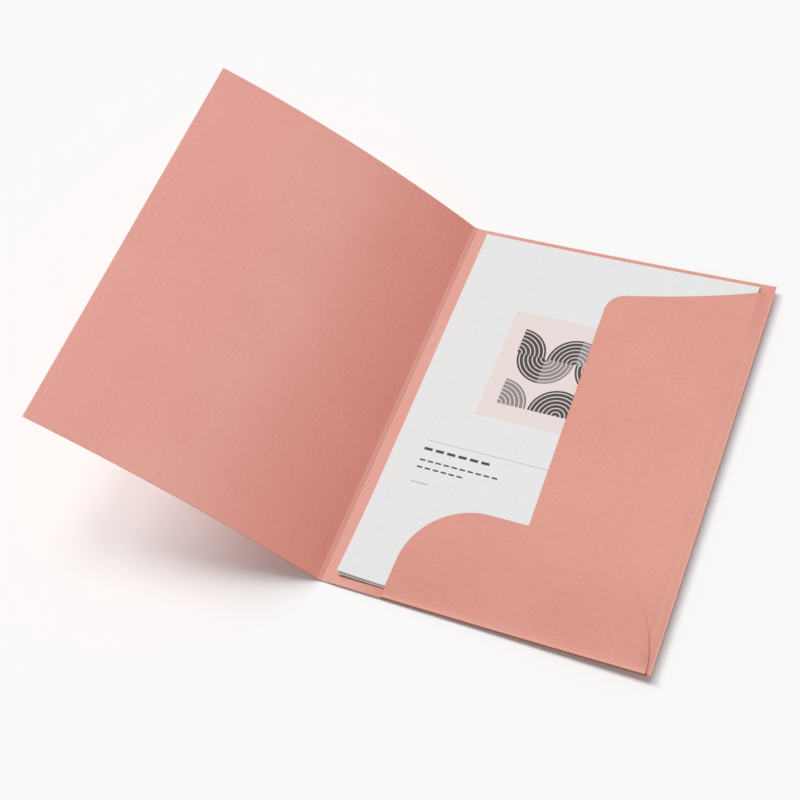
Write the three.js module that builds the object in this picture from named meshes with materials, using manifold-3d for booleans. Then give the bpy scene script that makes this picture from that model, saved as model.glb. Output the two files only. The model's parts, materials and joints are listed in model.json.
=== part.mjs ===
// A presentation folder for A4 sheets, lying open with loose sheets in its corner pocket.
// It is one die-cut card, folded at its creases. The card is divided here at the creases that bend.
// Lengths are in millimetres and angles in degrees.
// +X runs from the spine to the right-hand fold, +Y from the pocket's closed end to its open end,
// and +Z is up. The origin is the middle of the back cover's underside.

import * as THREE from 'three';
import { mergeVertices } from 'three/addons/utils/BufferGeometryUtils.js';
import Module from 'manifold-3d';

const wasm = await Module();
wasm.setup();

// Loose sheets
const sheetWidth = 210;
const sheetHeight = 297;
const sheetThickness = 0.2;
const sheetCount = 8;
const sheetGap = 0.05;

// Card and covers
const boardThickness = 0.4;
const spineMargin = 8.5;
const foldMargin = 11.5;
const bottomMargin = 8.7;
const topMargin = 4.3;
const frontCoverWidth = 225;

// How the folder stands open: the spine rises from the table, the front cover rises further
// from the spine, and then bends back down evenly over its width.
const spineRise = 20;
const frontCoverRise = 24;
const frontCoverBend = 15;

// Creases
const creaseClearance = 0.3;
const closingClearance = 0.15;

// Side flap, folded in from the right over the sheets
const sideFlapFootWidth = 106;
const sideFlapHeadWidth = 114;
const sideFlapTopMargin = 5.4;
const sideFlapShoulderDrop = 31;
const sideFlapCornerLength = 14;
const sideFlapTopSlope = 0.2;
const sideFlapTopBendAt = 72;
const sideFoldFootHeight = 0.45;
const sheetSideClearance = 0.8;
const flapClearance = 0.2;

// Bottom flap, folded up from below and glued onto the side flap
const bottomFlapHeight = 78.5;
const bottomFlapStart = 44;
const bottomFlapEndMargin = 3.5;
const bottomFlapStartRadius = 50;
const bottomFlapEndRadius = 76;
const bottomFoldRun = 2;
const bottomFoldWidth = 0.5;
const sideFlapFootClearance = 0.5;
const glueThickness = 0.1;
const glueInset = 12;
const glueLength = 70;
const glueWidth = 12;

const arcSteps = 16;
const beadSides = 12;

// Sizes that follow from the ones above
const backCoverWidth = spineMargin + sheetWidth + foldMargin;
const coverHeight = bottomMargin + sheetHeight + topMargin;
const sheetPitch = sheetThickness + sheetGap;
const stackTop = boardThickness + sheetCount * sheetPitch;
const sideFlapBase = stackTop + flapClearance;
const glueBase = sideFlapBase + boardThickness;
const bottomFlapBase = glueBase + glueThickness;
const pocketTop = bottomFlapBase + boardThickness;
const spineWidth = pocketTop + closingClearance;
const beadRadius = boardThickness / 2;
const creaseReach = beadRadius + creaseClearance;
const creaseHeight = boardThickness / 2;
const bottomFlapEnd = backCoverWidth - bottomFlapEndMargin;
const sideFlapFoot = bottomFoldRun + bottomFoldWidth + sideFlapFootClearance;
const shoulderX = spineMargin + sheetWidth + sheetSideClearance;

const cardFinish = { color: 0xdf9e92, roughness: 0.9, metalness: 0 };
const paperFinish = { color: 0xe8e8e6, roughness: 0.8, metalness: 0 };
const glueFinish = { color: 0xf2ead2, roughness: 0.5, metalness: 0 };

const alongX = new THREE.Vector3(1, 0, 0);
const alongY = new THREE.Vector3(0, 1, 0);
const alongZ = new THREE.Vector3(0, 0, 1);

function piece(name, geometry, finish) {
  const mesh = new THREE.Mesh(geometry, new THREE.MeshStandardMaterial(finish));
  mesh.name = name;
  return mesh;
}

function outlineOf(points) {
  return new THREE.Shape(points.map(([u, v]) => new THREE.Vector2(u, v)));
}

function extrude(shape, depth) {
  return new THREE.ExtrudeGeometry(shape, { depth, bevelEnabled: false, curveSegments: arcSteps });
}

// A flat piece of card: an outline seen from above, from one height to another.
function plate(shape, base, thickness) {
  return extrude(shape, thickness).translate(0, 0, base);
}

// A strip along Y: its cross-section is given as X and Z.
function stripAlongY(section, start, end) {
  const turn = new THREE.Matrix4().makeBasis(alongX, alongZ, alongY.clone().negate());
  return extrude(section, end - start).applyMatrix4(turn).translate(0, end, 0);
}

// A strip along X: its cross-section is given as Y and Z.
function stripAlongX(section, start, end) {
  const turn = new THREE.Matrix4().makeBasis(alongY, alongZ, alongX);
  return extrude(section, end - start).applyMatrix4(turn).translate(start, 0, 0);
}

function asSolid(geometry) {
  const bare = geometry.clone();
  bare.deleteAttribute('normal');
  bare.deleteAttribute('uv');
  const merged = mergeVertices(bare);
  return new wasm.Manifold(new wasm.Mesh({
    numProp: 3,
    vertProperties: merged.attributes.position.array,
    triVerts: Uint32Array.from(merged.index.array),
  }));
}

// The space that two solids share, used to cut a folded strip to the flap's outline.
function sharedPart(first, second) {
  const mesh = asSolid(first).intersect(asSolid(second)).getMesh();
  const geometry = new THREE.BufferGeometry();
  geometry.setAttribute('position', new THREE.BufferAttribute(mesh.vertProperties, 3));
  geometry.setIndex(new THREE.BufferAttribute(mesh.triVerts, 1));
  geometry.computeVertexNormals();
  return geometry;
}

function backCover() {
  const outline = outlineOf([
    [creaseReach, 0],
    [backCoverWidth, 0],
    [backCoverWidth, coverHeight],
    [creaseReach, coverHeight],
  ]);
  return piece('back_cover', plate(outline, 0, boardThickness), cardFinish);
}

// The narrow strip that lifts the bottom flap off the back cover and gives the pocket its depth.
function bottomFold() {
  const section = outlineOf([
    [0, boardThickness],
    [bottomFoldWidth, boardThickness],
    [bottomFoldRun + bottomFoldWidth, bottomFlapBase],
    [bottomFoldRun, bottomFlapBase],
  ]);
  return piece('bottom_fold', stripAlongX(section, bottomFlapStart, bottomFlapEnd), cardFinish);
}

// Straight at the fold and along the top, with one rounded end towards the spine
// and a larger one towards the right-hand corner.
function bottomFlapOutline() {
  const straightFoot = bottomFlapHeight - bottomFoldRun;
  const startRadius = Math.min(bottomFlapStartRadius, straightFoot);
  const endRadius = Math.min(bottomFlapEndRadius, straightFoot);
  const outline = new THREE.Shape();
  outline.moveTo(bottomFlapStart, bottomFoldRun);
  outline.lineTo(bottomFlapEnd, bottomFoldRun);
  outline.absarc(bottomFlapEnd - endRadius, bottomFlapHeight - endRadius, endRadius, 0, Math.PI / 2, false);
  outline.absarc(
    bottomFlapStart + startRadius, bottomFlapHeight - startRadius, startRadius, Math.PI / 2, Math.PI, false,
  );
  outline.closePath();
  return outline;
}

function bottomFlap() {
  return piece('bottom_flap', plate(bottomFlapOutline(), bottomFlapBase, boardThickness), cardFinish);
}

// The side flap as seen from above, from its fold to its inner edge. Its foot is cut back to pass
// the bottom fold, and its top edge falls from the fold in a shallow curve to a rounded corner.
function sideFlapOutline() {
  const innerFoot = new THREE.Vector2(backCoverWidth - sideFlapFootWidth, sideFlapFoot);
  const foldTop = new THREE.Vector2(backCoverWidth, coverHeight - sideFlapTopMargin);
  const corner = new THREE.Vector2(backCoverWidth - sideFlapHeadWidth, foldTop.y - sideFlapShoulderDrop);
  const cornerStart = corner.clone().add(
    innerFoot.clone().sub(corner).setLength(sideFlapCornerLength),
  );
  const topDirection = new THREE.Vector2(1, sideFlapTopSlope).normalize();
  const cornerEnd = corner.clone().addScaledVector(topDirection, sideFlapCornerLength);
  const topBend = corner.clone().addScaledVector(topDirection, sideFlapTopBendAt);
  const outline = new THREE.Shape();
  outline.moveTo(innerFoot.x, innerFoot.y);
  outline.lineTo(shoulderX, sideFlapFoot);
  outline.lineTo(backCoverWidth, bottomFoldWidth);
  outline.lineTo(foldTop.x, foldTop.y);
  outline.quadraticCurveTo(topBend.x, topBend.y, cornerEnd.x, cornerEnd.y);
  outline.quadraticCurveTo(corner.x, corner.y, cornerStart.x, cornerStart.y);
  outline.closePath();
  return outline;
}

function cutToSideFlapOutline(section) {
  const strip = stripAlongY(section, 0, coverHeight);
  return sharedPart(strip, plate(sideFlapOutline(), 0, pocketTop));
}

// The strip of card beside the right-hand fold, which climbs over the edge of the sheets.
function sideFold() {
  const footTop = boardThickness + sideFoldFootHeight;
  const section = outlineOf([
    [backCoverWidth - boardThickness, boardThickness],
    [backCoverWidth, boardThickness],
    [backCoverWidth, footTop],
    [shoulderX, glueBase],
    [shoulderX, sideFlapBase],
  ]);
  return piece('side_fold', cutToSideFlapOutline(section), cardFinish);
}

function sideFlap() {
  const section = outlineOf([
    [0, sideFlapBase],
    [shoulderX, sideFlapBase],
    [shoulderX, glueBase],
    [0, glueBase],
  ]);
  return piece('side_flap', cutToSideFlapOutline(section), cardFinish);
}

// The strip of glue that holds the bottom flap down on the side flap.
function glueStrip() {
  const start = backCoverWidth - sideFlapFootWidth + glueInset;
  const foot = sideFlapFoot + glueInset;
  const outline = outlineOf([
    [start, foot],
    [start + glueLength, foot],
    [start + glueLength, foot + glueWidth],
    [start, foot + glueWidth],
  ]);
  return piece('glue_strip', plate(outline, glueBase, glueThickness), glueFinish);
}

// The raised bead that a crease presses into the card, which is what the card hinges on.
function creaseBead(name) {
  const bead = new THREE.CylinderGeometry(beadRadius, beadRadius, coverHeight, beadSides);
  return piece(name, bead.translate(0, coverHeight / 2, 0), cardFinish);
}

// Drawn with the back crease at its origin, and running away from it along -X.
function spineStrip() {
  const section = outlineOf([
    [creaseReach - spineWidth, -boardThickness / 2],
    [-creaseReach, -boardThickness / 2],
    [-creaseReach, boardThickness / 2],
    [creaseReach - spineWidth, boardThickness / 2],
  ]);
  return piece('spine', stripAlongY(section, 0, coverHeight), cardFinish);
}

// Drawn with the front crease at its origin. The card leaves it along -X and bends evenly downwards.
function frontCover() {
  const bend = THREE.MathUtils.degToRad(frontCoverBend);
  const radius = frontCoverWidth / bend;
  const upright = Math.PI / 2;
  const start = upright + creaseReach / radius;
  const end = upright + bend;
  const section = new THREE.Shape();
  section.absarc(0, -radius, radius + boardThickness / 2, start, end, false);
  section.absarc(0, -radius, radius - boardThickness / 2, end, start, true);
  section.closePath();
  return piece('front_cover', stripAlongY(section, 0, coverHeight), cardFinish);
}

function sheet(name, level) {
  const geometry = new THREE.BoxGeometry(sheetWidth, sheetHeight, sheetThickness);
  geometry.translate(
    spineMargin + sheetWidth / 2,
    bottomMargin + sheetHeight / 2,
    boardThickness + sheetGap + sheetThickness / 2 + level * sheetPitch,
  );
  return piece(name, geometry, paperFinish);
}

function looseSheets() {
  const sheets = new THREE.Group();
  for (let level = 0; level < sheetCount - 1; level += 1) {
    sheets.add(sheet(`sheet_${level + 1}`, level));
  }
  sheets.add(sheet('top_sheet', sheetCount - 1));
  return sheets;
}

function backCoverWithPocket() {
  const group = new THREE.Group();
  group.add(backCover(), bottomFold(), bottomFlap(), sideFold(), sideFlap(), glueStrip());
  const crease = creaseBead('back_crease');
  crease.position.z = creaseHeight;
  group.add(crease);
  return group;
}

// The spine turns on the back crease, and the front cover on the front crease at the spine's far edge.
function spineWithFrontCover() {
  const coverGroup = new THREE.Group();
  coverGroup.rotation.y = THREE.MathUtils.degToRad(frontCoverRise);
  coverGroup.position.x = -spineWidth;
  coverGroup.add(frontCover());

  const crease = creaseBead('front_crease');
  crease.position.x = -spineWidth;

  const spineGroup = new THREE.Group();
  spineGroup.position.z = creaseHeight;
  spineGroup.rotation.y = THREE.MathUtils.degToRad(spineRise);
  spineGroup.add(spineStrip(), crease, coverGroup);
  return spineGroup;
}

const folder = new THREE.Group();
folder.add(backCoverWithPocket(), spineWithFrontCover(), looseSheets());
folder.position.set(-backCoverWidth / 2, -coverHeight / 2, 0);

export default folder;
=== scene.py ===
# %% [markdown]
# # A card folder for A4 sheets, dressed in Blender
#
# The folder lies open, with loose sheets in the pocket of its back cover and its front cover
# raised. Its exact sizes, bodies and joints come from a packed model, the frame. This script never
# moves the frame: it gives each part a fine mesh and a finish. Most parts are made as in a real
# folder: first a flat patch of card, then a rule that folds it into place.

# %% Load the frame
import json
import math

import bpy
import numpy as np
from mathutils import Matrix, Vector

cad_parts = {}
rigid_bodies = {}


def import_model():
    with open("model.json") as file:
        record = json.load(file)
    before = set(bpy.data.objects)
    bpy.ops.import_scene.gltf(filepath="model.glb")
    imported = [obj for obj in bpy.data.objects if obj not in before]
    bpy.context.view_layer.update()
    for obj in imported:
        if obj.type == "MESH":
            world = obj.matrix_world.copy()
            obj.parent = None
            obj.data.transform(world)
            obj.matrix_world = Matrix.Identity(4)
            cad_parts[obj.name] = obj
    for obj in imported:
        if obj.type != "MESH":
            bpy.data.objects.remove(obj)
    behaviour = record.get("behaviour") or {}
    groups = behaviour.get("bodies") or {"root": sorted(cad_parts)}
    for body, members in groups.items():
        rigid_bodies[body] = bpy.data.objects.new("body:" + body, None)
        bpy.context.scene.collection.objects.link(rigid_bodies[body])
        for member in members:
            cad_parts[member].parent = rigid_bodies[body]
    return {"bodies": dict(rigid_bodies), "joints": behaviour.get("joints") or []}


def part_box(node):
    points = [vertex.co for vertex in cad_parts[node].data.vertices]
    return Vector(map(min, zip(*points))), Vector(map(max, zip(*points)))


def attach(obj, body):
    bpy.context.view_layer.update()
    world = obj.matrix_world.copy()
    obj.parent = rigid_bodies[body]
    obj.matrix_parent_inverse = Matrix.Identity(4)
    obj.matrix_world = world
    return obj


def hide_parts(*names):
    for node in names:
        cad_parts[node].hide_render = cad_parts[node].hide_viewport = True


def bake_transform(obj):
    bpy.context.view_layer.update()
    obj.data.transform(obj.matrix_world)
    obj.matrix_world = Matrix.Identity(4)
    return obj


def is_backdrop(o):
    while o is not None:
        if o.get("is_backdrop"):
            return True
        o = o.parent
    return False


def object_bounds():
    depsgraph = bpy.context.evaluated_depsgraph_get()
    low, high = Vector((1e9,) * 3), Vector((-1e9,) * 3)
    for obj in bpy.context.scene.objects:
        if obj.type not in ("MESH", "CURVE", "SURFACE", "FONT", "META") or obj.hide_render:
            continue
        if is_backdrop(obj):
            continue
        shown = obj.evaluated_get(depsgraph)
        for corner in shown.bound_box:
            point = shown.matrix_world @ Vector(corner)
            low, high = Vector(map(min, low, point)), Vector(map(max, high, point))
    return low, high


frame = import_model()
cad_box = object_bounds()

MM = 0.001


def print_box(words, box):
    print(words, [[round(value / MM, 1) for value in corner] for corner in box])


print("bodies:", sorted(frame["bodies"]))
print_box("frame box in mm:", cad_box)

# %% [markdown]
# ## Measure the frame
#
# Everything below is placed from the boxes of the frame's nodes and from its two hinge lines. The
# work is done in millimetres, and the meshes are turned into metres at the very end.

# %% Sizes taken from the frame
def box_in_mm(node):
    return np.array(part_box(node)) / MM


panel_low, panel_high = box_in_mm("back_cover")
cover_low, cover_high = box_in_mm("front_cover")
flap_low, flap_high = box_in_mm("bottom_flap")
side_low, side_high = box_in_mm("side_flap")
sheet_low, sheet_high = box_in_mm("sheet_1")
top_low, top_high = box_in_mm("top_sheet")
hinges = {joint["name"]: np.array(joint["pos_m"]) / MM for joint in frame["joints"] if "pos_m" in joint}
back_hinge = hinges["back_crease_hinge"]
front_hinge = hinges["front_crease_hinge"]

CARD = panel_high[2] - panel_low[2]
PAPER = sheet_high[2] - sheet_low[2]
FOOT, HEAD, RIGHT = panel_low[1], panel_high[1], panel_high[0]
SPINE = back_hinge[0]
CARD_MIDDLE = back_hinge[2]
print(f"card {CARD:.2f} mm, paper {PAPER:.2f} mm, panel {RIGHT - SPINE:.1f} x {HEAD - FOOT:.1f} mm")

# %% [markdown]
# ## The camera
#
# The camera is turned three times: around its own line of sight, down towards the table, and
# around the upright axis. It is shifted from the foot of the spine to the right, up and back, as
# seen by the camera.

# %% Camera
VIEW_AZIMUTH = math.radians(37.26)
VIEW_ELEVATION = math.radians(56.93)
VIEW_ROLL = math.radians(-18.2)
VIEW_SHIFT = (52.63, 123.44, 1010.3)
LENS = 66.81
NEAREST_SEEN = 0.01


def show(name, data):
    """Puts data into the scene as an object."""
    thing = bpy.data.objects.new(name, data)
    bpy.context.scene.collection.objects.link(thing)
    return thing


view_turn = (Matrix.Rotation(VIEW_AZIMUTH, 4, "Z") @ Matrix.Rotation(math.pi / 2 - VIEW_ELEVATION, 4, "X")
             @ Matrix.Rotation(VIEW_ROLL, 4, "Z"))
view_place = Vector((SPINE, FOOT, 0)) + view_turn @ Vector(VIEW_SHIFT)
camera = show("photograph_view", bpy.data.cameras.new("photograph_view"))
camera.data.lens = LENS
camera.data.clip_start = NEAREST_SEEN
camera.matrix_world = Matrix.Translation(view_place * MM) @ view_turn
bpy.context.scene.camera = camera
print("camera at", [round(value, 3) for value in camera.matrix_world.translation])

# %% [markdown]
# ## Nodes written as sums
#
# Finishes, the light of the room and rules for shapes are all trees of nodes. Nodes adds a node,
# sets it up and joins its inputs in one call, and gives back its output as a Value. Values can be
# added, multiplied and compared like numbers: each sign between them adds a Math node. A colour
# is written as in a paint program, and turned into the linear values that Blender works with.

# %% Node helpers
def linear(hex_colour):
    values = [int(hex_colour[start:start + 2], 16) / 255 for start in (1, 3, 5)]
    return tuple(v / 12.92 if v <= 0.04045 else ((v + 0.055) / 1.055) ** 2.4 for v in values) + (1.0,)


class Value:
    """The output of a node, to use in sums or as the input of a next node."""

    def __init__(self, nodes, socket):
        self.nodes = nodes
        self.socket = socket

    def __getitem__(self, output):
        return Value(self.nodes, self.socket.node.outputs[output])

    def __rsub__(self, number):
        return self.nodes.maths("SUBTRACT", number, self)

    def maths(self, operation, *others):
        return self.nodes.maths(operation, self, *others)


SIGNS = {"__add__": "ADD", "__sub__": "SUBTRACT", "__mul__": "MULTIPLY", "__truediv__": "DIVIDE",
         "__pow__": "POWER", "__mod__": "MODULO", "__lt__": "LESS_THAN", "__gt__": "GREATER_THAN"}
for sign, operation in SIGNS.items():
    setattr(Value, sign, lambda first, second, operation=operation: first.maths(operation, second))


class Nodes:
    def __init__(self, tree):
        self.tree = tree
        tree.nodes.clear()

    def add(self, kind, inputs=None, out=0, **settings):
        node = self.tree.nodes.new(kind)
        for setting, value in settings.items():
            setattr(node, setting, value)
        for socket, value in (inputs or {}).items():
            if isinstance(value, Value):
                self.tree.links.new(value.socket, node.inputs[socket])
            else:
                node.inputs[socket].default_value = linear(value) if isinstance(value, str) else value
        return Value(self, node.outputs[out]) if node.outputs else None

    def maths(self, operation, *values):
        return self.add("ShaderNodeMath", dict(enumerate(values)), operation=operation)

    def split(self, vector):
        return self.add("ShaderNodeSeparateXYZ", {"Vector": vector})

    def join(self, x=0.0, y=0.0, z=0.0):
        return self.add("ShaderNodeCombineXYZ", {"X": x, "Y": y, "Z": z})


print("a mid grey in linear values:", [round(value, 3) for value in linear("#808080")])

# %% [markdown]
# ## Finishes in short words
#
# A finish is a material. This class has a short call for each thing that a finish here needs, so
# that each finish below reads from top to bottom like a recipe.

# %% Finish helper
class Finish(Nodes):
    def __init__(self, name):
        self.material = bpy.data.materials.new(name)
        self.material.use_nodes = True
        super().__init__(self.material.node_tree)

    def blend(self, share, first, second, way="MIX"):
        return self.add("ShaderNodeMix", {"Factor": share, "A": first, "B": second}, out="Result",
                        data_type="RGBA", blend_type=way)

    def tint(self, share, colour, tint):
        """Multiplies a colour by a tint, as far as share says."""
        return self.blend(share, colour, tint + (1.0,), way="MULTIPLY")

    def remap(self, value, low, high, to_low=0.0, to_high=1.0, way="LINEAR"):
        inputs = {"Value": value, "From Min": low, "From Max": high, "To Min": to_low, "To Max": to_high}
        return self.add("ShaderNodeMapRange", inputs, out="Result", interpolation_type=way)

    def soft(self, value, low, high):
        return self.remap(value, low, high, way="SMOOTHSTEP")

    def place(self):
        return self.add("ShaderNodeTexCoord", out="Object")

    def mark(self, name):
        """A value that the mesh carries at each of its points."""
        return self.add("ShaderNodeAttribute", out="Fac", attribute_name=name)

    def noise(self, place, scale, detail=2.0, roughness=0.5):
        inputs = {"Vector": place, "Scale": scale, "Detail": detail, "Roughness": roughness}
        return self.add("ShaderNodeTexNoise", inputs, out="Fac")

    def fibres(self, place, turn, scale_along, scale_across):
        """Noise stretched in one direction, so that it looks like fibres lying that way."""
        turned = self.add("ShaderNodeMapping", {
            "Vector": place, "Rotation": (0, 0, math.radians(turn)),
            "Scale": (scale_along, scale_across, scale_across)})
        return self.noise(turned, scale=1.0, detail=1.0)

    def bump(self, height, strength, distance):
        return self.add("ShaderNodeBump", {"Height": height, "Strength": strength, "Distance": distance})

    def surface(self, colour, roughness, specular, **more):
        inputs = {"Base Color": colour, "Roughness": roughness, "Specular IOR Level": specular, **more}
        self.add("ShaderNodeOutputMaterial", {"Surface": self.add("ShaderNodeBsdfPrincipled", inputs)})
        return self.material


print("calls to make a finish:", [name for name in vars(Finish) if name[0] != "_"])

# %% [markdown]
# ## The light
#
# A long softbox hangs above the folder, from the left to the middle. A row of sun lamps with a
# large angle stands in for it, because their light is the same everywhere and leaves the table one
# tone. Lamps and room together add up to about one, so a colour looks as it was written. The camera
# and glossy surfaces see the table's white all around.

# %% Light, room and table
SOFTBOX_SPREAD = math.radians(20)
SOFTBOX_SLANTS = (-0.8, -0.4, 0.0)
SOFTBOX_FROM_BACK = 0.26
SOFTBOX_LEVEL = 0.64
ROOM_LEVEL = 0.36
TABLE_HALF = 4.0
TABLE_LEVEL = -0.5 * MM
TABLE_WHITE = "#FAFAFA"

bpy.context.scene.view_settings.view_transform = "Standard"
for slant in SOFTBOX_SLANTS:
    towards_lamp = Vector((slant, SOFTBOX_FROM_BACK, 1.0))
    lamp = show("softbox_lamp", bpy.data.lights.new("softbox_lamp", "SUN"))
    lamp.data.energy = SOFTBOX_LEVEL / len(SOFTBOX_SLANTS) * math.pi * towards_lamp.length
    lamp.data.angle = SOFTBOX_SPREAD
    lamp.rotation_euler = towards_lamp.to_track_quat("Z", "Y").to_euler()

world = bpy.data.worlds.new("pale_room")
bpy.context.scene.world = world
world.use_nodes = True
sky = Nodes(world.node_tree)
room = sky.add("ShaderNodeBackground", {"Color": (1, 1, 1, 1), "Strength": ROOM_LEVEL})
backdrop = sky.add("ShaderNodeBackground", {"Color": TABLE_WHITE})
ray = sky.add("ShaderNodeLightPath")
in_gloss = ray["Is Glossy Ray"].maths("MAXIMUM", ray["Is Transmission Ray"])
seen = ray["Is Camera Ray"].maths("MAXIMUM", in_gloss)
mixed = sky.add("ShaderNodeMixShader", {0: seen, 1: room, 2: backdrop})
sky.add("ShaderNodeOutputWorld", {"Surface": mixed})

table_mesh = bpy.data.meshes.new("table")
table_corners = [(x * TABLE_HALF, y * TABLE_HALF, TABLE_LEVEL)
                 for x, y in ((-1, -1), (1, -1), (1, 1), (-1, 1))]
table_mesh.from_pydata(table_corners, [], [(0, 1, 2, 3)])
table_mesh.materials.append(Finish("white_table").surface(TABLE_WHITE, 1.0, 0.0))
table = show("table", table_mesh)
table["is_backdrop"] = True
print("light level on the table:", SOFTBOX_LEVEL + ROOM_LEVEL)

# %% [markdown]
# ## Salmon card
#
# Close up the card shows a cloudy tone and short fibres, and its cut edges are painted dark as painted
# shade. From afar light and shade are painted into its tone: painted light on the outer part of the open
# cover and on the pocket beside the spine, painted warm bounce light on the cover beside the spine, and
# painted shade towards the foot of the pocket. The meshes carry three marks from 0 to 1: cut_edge along the
# edges, crease where the card was folded and is paler, partly as a painted highlight and on the fold slopes
# as painted light, and a third mark for painted shade on the wall of the bottom fold.

# %% Card finishes
CARD_FACE = "#E1A093"
CARD_DEEP = "#DA9789"
CARD_PALE = "#E8AC9F"
# Cut edges are painted dark, as painted shade.
CARD_CUT_EDGE_SHADE = "#A97266"
# Paler creases, partly crease whitening and partly a painted highlight; the same colour carries painted
# light on the fold slopes.
CARD_CREASE_AND_HIGHLIGHT = "#F5B9AA"
# Painted light on the cover's outer part, painted warm bounce light on the cover beside the spine, painted
# shade towards the foot of the pocket, and painted light on the pocket beside the spine.
COVER_PAINTED_LIGHT_TINT = (1.27, 1.30, 1.36)
SPINE_PAINTED_BOUNCE_TINT = (1.18, 1.01, 0.99)
FOOT_PAINTED_SHADE_TINT = (0.94, 0.92, 0.92)
MARGIN_PAINTED_LIGHT_TINT = (1.03, 1.13, 1.18)
# Painted shade over the spine strip, between its two crease beads.
SPINE_PAINTED_SHADE_TINT = (0.96, 0.90, 0.88)
# Painted shade on the wall of the bottom fold.
WALL_PAINTED_SHADE_TINT = (0.48, 0.38, 0.34)
COVER_STARTS = -3.0
COVER_PAINTED_LIGHT_RUN = (-10.0, -95.0)
SPINE_PAINTED_BOUNCE_RUN = (-90.0, -5.0)
MARGIN_PAINTED_LIGHT_RUN = (45.0, 12.0)
FOOT_PAINTED_SHADE_RUN = (90.0, 10.0)

CLOUD_SCALE = 420.0
DRIFT_SCALE = 14.0
CLOUD_SHARE, DRIFT_SHARE = 0.6, 0.4
TONE_SPREAD = (0.35, 0.65)
GRAIN_SCALE = 2600.0
GRAIN_SPREAD = (0.3, 0.7)
FIBRE_SCALES = (380.0, 5200.0)
FIBRE_TURNS = (24, -47)
FIBRE_SPREAD = (0.62, 0.78)
FIBRE_PALENESS = 0.5
FIBRE_HEIGHT = 0.6
CUT_SHARE = 0.8
CARD_ROUGHNESS = (0.82, 0.96)
CARD_SPECULAR = 0.25
CARD_BUMP = (0.25, 0.06 * MM)


def painted_light_and_shade(card, place, colour):
    """Painted light and shade, by the distance in millimetres from the spine and from the foot."""
    split = card.split(place)
    from_spine = split["X"] / MM - SPINE
    from_foot = split["Y"] / MM - FOOT
    on_cover = from_spine < COVER_STARTS
    on_pocket = 1.0 - on_cover
    margin = card.soft(from_spine, *MARGIN_PAINTED_LIGHT_RUN) * on_pocket
    foot = card.soft(from_foot, *FOOT_PAINTED_SHADE_RUN) * (on_pocket - margin)
    colour = card.tint(card.soft(from_spine, *COVER_PAINTED_LIGHT_RUN), colour, COVER_PAINTED_LIGHT_TINT)
    colour = card.tint(card.soft(from_spine, *SPINE_PAINTED_BOUNCE_RUN) * on_cover, colour, SPINE_PAINTED_BOUNCE_TINT)
    colour = card.tint(margin, colour, MARGIN_PAINTED_LIGHT_TINT)
    return card.tint(foot, colour, FOOT_PAINTED_SHADE_TINT)


def card_finish(name, crease_share, spine_shade=0.0):
    card = Finish(name)
    place = card.place()
    cloud = card.noise(place, CLOUD_SCALE, detail=3.0, roughness=0.6)
    drift = card.noise(place, DRIFT_SCALE)
    grain = card.noise(place, GRAIN_SCALE, detail=3.0, roughness=0.65)
    one_way, other_way = (card.fibres(place, turn, *FIBRE_SCALES) for turn in FIBRE_TURNS)
    fibre = card.remap(one_way.maths("MAXIMUM", other_way), *FIBRE_SPREAD)
    tone = card.remap(cloud * CLOUD_SHARE + drift * DRIFT_SHARE, *TONE_SPREAD)
    colour = card.blend(tone, CARD_DEEP, CARD_FACE)
    colour = card.blend(fibre * FIBRE_PALENESS, colour, CARD_PALE)
    # Painted light and shade across the card, and painted shade on the spine strip.
    colour = card.tint(spine_shade, painted_light_and_shade(card, place, colour), SPINE_PAINTED_SHADE_TINT)
    # Paler creases, partly a painted highlight, and painted light along the bottom fold and on the side
    # fold's slope.
    colour = card.blend(card.mark("crease") * crease_share, colour, CARD_CREASE_AND_HIGHLIGHT)
    # Painted shade along the cut edges.
    colour = card.blend(card.mark("cut_edge") * CUT_SHARE, colour, CARD_CUT_EDGE_SHADE)
    # Painted shade on the wall of the bottom fold.
    colour = card.tint(card.mark("painted_wall_shade"), colour, WALL_PAINTED_SHADE_TINT)
    roughness = card.remap(grain, *GRAIN_SPREAD, *CARD_ROUGHNESS)
    bump = card.bump(grain + fibre * FIBRE_HEIGHT, *CARD_BUMP)
    return card.surface(colour, roughness, CARD_SPECULAR, Normal=bump)


card_paper = card_finish("salmon_card", crease_share=0.75)
creased_card = card_finish("creased_salmon_card", crease_share=1.0)
# The spine's finish carries painted shade over the whole strip.
spine_paper = card_finish("pressed_salmon_card", crease_share=1.0, spine_shade=1.0)
print("card finishes:", card_paper.name, creased_card.name, spine_paper.name)

# %% [markdown]
# ## White paper and dry glue
#
# Writing paper has the same cloud and grain as card, but fainter, and almost no colour. The glue is
# a thin dried film with a little gloss.

# %% Paper and glue finishes
PAPER_WHITE = "#E6E7E7"
PAPER_SHADE = "#E1E3E3"
PAPER_CUT = "#DCD9D6"
PAPER_CLOUD_SCALE = 500.0
PAPER_GRAIN_SCALE = 4200.0
PAPER_ROUGHNESS = (0.7, 0.85)
PAPER_SPECULAR = 0.3
PAPER_BUMP = (0.15, 0.03 * MM)
GLUE_AMBER = "#F2EAD2"
GLUE_RIPPLE_SCALE = 300.0
GLUE_ROUGHNESS = 0.4
GLUE_SPECULAR = 0.5
GLUE_BUMP = (0.4, 0.05 * MM)


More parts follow.
